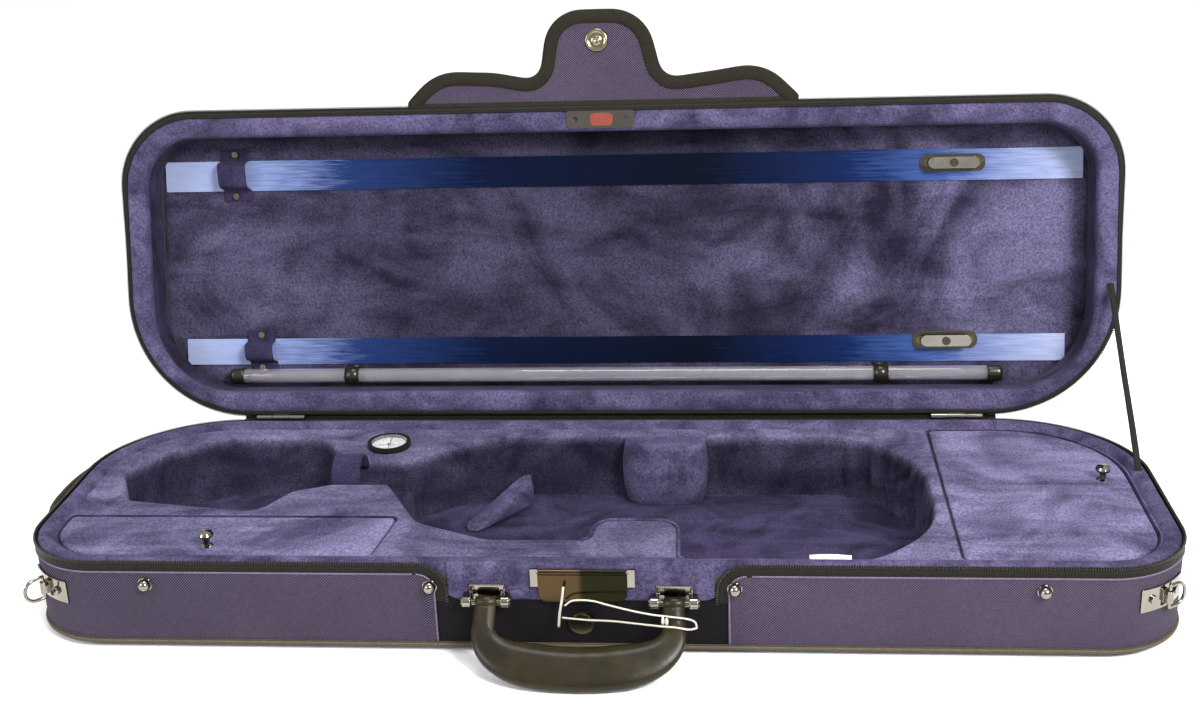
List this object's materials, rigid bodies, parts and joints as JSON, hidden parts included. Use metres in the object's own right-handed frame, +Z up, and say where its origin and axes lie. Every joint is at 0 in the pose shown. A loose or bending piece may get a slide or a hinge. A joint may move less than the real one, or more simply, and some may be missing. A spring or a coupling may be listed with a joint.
{
  "type": "violin case",
  "caption": "Oblong violin case standing open: padded base with an instrument bed and lidded compartments, hinged lid with bow holders and a string tube, carrying handle.",
  "frame": {"origin": "on the table under the middle of the open case's box", "axes": "+X along the case towards the lower bout, +Y towards the hinge side, +Z up"},
  "size_m": [0.8148, 0.4188, 0.3847],
  "materials": {
    "cover_fabric": "dark navy purple diagonal twill",
    "shell_board": "plain rigid shell",
    "piping": "black and olive piping",
    "suede": "blue violet brushed suede",
    "zipper_tape": "woven black olive tape",
    "zipper_coil": "black coil",
    "chrome": "polished",
    "leather": "black with an olive sheen",
    "webbing": "black woven webbing",
    "foot_metal": "domed",
    "satin": "royal blue satin",
    "black_plastic": "glossy",
    "clear_plastic": "clear acrylic",
    "white_card": "white",
    "tie_plastic": "milky nylon"
  },
  "bodies": {
    "base": {"base_cover": "cover_fabric", "base_shell": "shell_board", "base_piping": "piping", "front_apron": "suede", "base_zipper_tape": "zipper_tape", "base_zipper_teeth": "zipper_coil", "base_rim_pad": "suede", "floor_pad": "suede", "foam_left": "suede", "foam_front": "suede", "foam_back": "suede", "foam_right": "suede", "bout_cushion": "suede", "wedge_pad": "suede", "size_tag": "white_card", "hygrometer_case": "black_plastic", "hygrometer_dial": "white_card", "hygrometer_lens": "clear_plastic", "latch_housing": "chrome", "base_snap": "chrome", "ball_studs": "chrome", "handle_brackets": "chrome", "handle_pins": "chrome", "ring_plates": "chrome", "base_screws": "chrome", "end_strap": "webbing", "feet": "foot_metal", "base_hinge_leaves": "chrome", "stay_strap": "webbing"},
    "lid": {"lid_cover": "cover_fabric", "lid_shell": "shell_board", "lid_rim_pad": "suede", "lid_padding": "suede", "lid_hinge_leaves": "chrome", "lid_zipper_tape": "zipper_tape", "lid_zipper_teeth": "zipper_coil", "satin_ribbons": "satin", "bow_tip_loops": "suede", "lid_rivets": "chrome", "spinner_plates": "chrome", "tube_clips": "black_plastic", "strike_plate": "chrome", "music_pocket": "cover_fabric"},
    "flap": {"flap_panel": "cover_fabric"},
    "upper_spinner": {"upper_spinner": "chrome"},
    "lower_spinner": {"lower_spinner": "chrome"},
    "string_tube": {"string_tube": "clear_plastic"},
    "tube_cap": {"tube_cap": "black_plastic"},
    "handle": {"handle_grip": "leather", "handle_straps": "leather", "tag_tie": "tie_plastic"},
    "latch": {"latch_plate": "chrome"},
    "left_ring": {"left_ring": "chrome"},
    "right_ring": {"right_ring": "chrome"},
    "left_board": {"left_compartment_lid": "suede", "left_knob": "chrome"},
    "right_board": {"right_compartment_lid": "suede", "right_knob": "chrome"},
    "neck_strap": {"neck_strap": "suede"},
    "pointer": {"hygrometer_pointer": "black_plastic"}
  },
  "joints": [
    {"name": "lid_hinge", "type": "hinge", "parent": "base", "child": "lid", "pos_m": [0.0056, 0.0921, 0.069], "axis": [-1, 0, 0], "range_deg": [-104, 0], "deforming": ["stay_strap"]},
    {"name": "flap_fold", "type": "hinge", "parent": "lid", "child": "flap", "pos_m": [0.0056, 0.1537, 0.31191], "axis": [1, 0, 0], "range_deg": [0, 95]},
    {"name": "upper_spinner_turn", "type": "hinge", "parent": "lid", "child": "upper_spinner", "pos_m": [0.2806, 0.16974, 0.25638], "axis": [0, -0.9703, 0.2419], "range_deg": [0, 90]},
    {"name": "lower_spinner_turn", "type": "hinge", "parent": "lid", "child": "lower_spinner", "pos_m": [0.2756, 0.13505, 0.11724], "axis": [0, -0.9703, 0.2419], "range_deg": [0, 90]},
    {"name": "tube_lift", "type": "slide", "parent": "lid", "child": "string_tube", "axis": [0, -0.9703, 0.2419], "range_m": [0, 0.025]},
    {"name": "cap_pull", "type": "slide", "parent": "string_tube", "child": "tube_cap", "axis": [1, 0, 0], "range_m": [0, 0.01]},
    {"name": "handle_swing", "type": "hinge", "parent": "base", "child": "handle", "pos_m": [0.0056, -0.1645, 0.044], "axis": [-1, 0, 0], "range_deg": [0, 130], "deforming": ["tag_tie"]},
    {"name": "latch_flip", "type": "hinge", "parent": "base", "child": "latch", "pos_m": [0.0036, -0.1599, 0.064], "axis": [-1, 0, 0], "range_deg": [0, 110], "deforming": ["tag_tie"]},
    {"name": "left_ring_swing", "type": "hinge", "parent": "base", "child": "left_ring", "pos_m": [-0.37651, -0.1463, 0.042], "axis": [0, 0, 1], "range_deg": [-75, 75]},
    {"name": "right_ring_swing", "type": "hinge", "parent": "base", "child": "right_ring", "pos_m": [0.38771, -0.1463, 0.042], "axis": [0, 0, 1], "range_deg": [-160, 0]},
    {"name": "left_lid_lift", "type": "hinge", "parent": "base", "child": "left_board", "pos_m": [-0.2544, -0.0815, 0.065], "axis": [-1, 0, 0], "range_deg": [0, 100]},
    {"name": "right_lid_lift", "type": "hinge", "parent": "base", "child": "right_board", "pos_m": [0.2556, -0.0335, 0.065], "axis": [0, -1, 0], "range_deg": [0, 95]},
    {"name": "neck_strap_open", "type": "hinge", "parent": "base", "child": "neck_strap", "pos_m": [-0.1884, 0.0135, 0.065], "axis": [-1, 0, 0], "range_deg": [0, 90]},
    {"name": "pointer_turn", "type": "hinge", "parent": "base", "child": "pointer", "pos_m": [-0.1684, 0.0435, 0.066], "axis": [0, 0, 1], "range_deg": [-120, 120]}
  ]
}
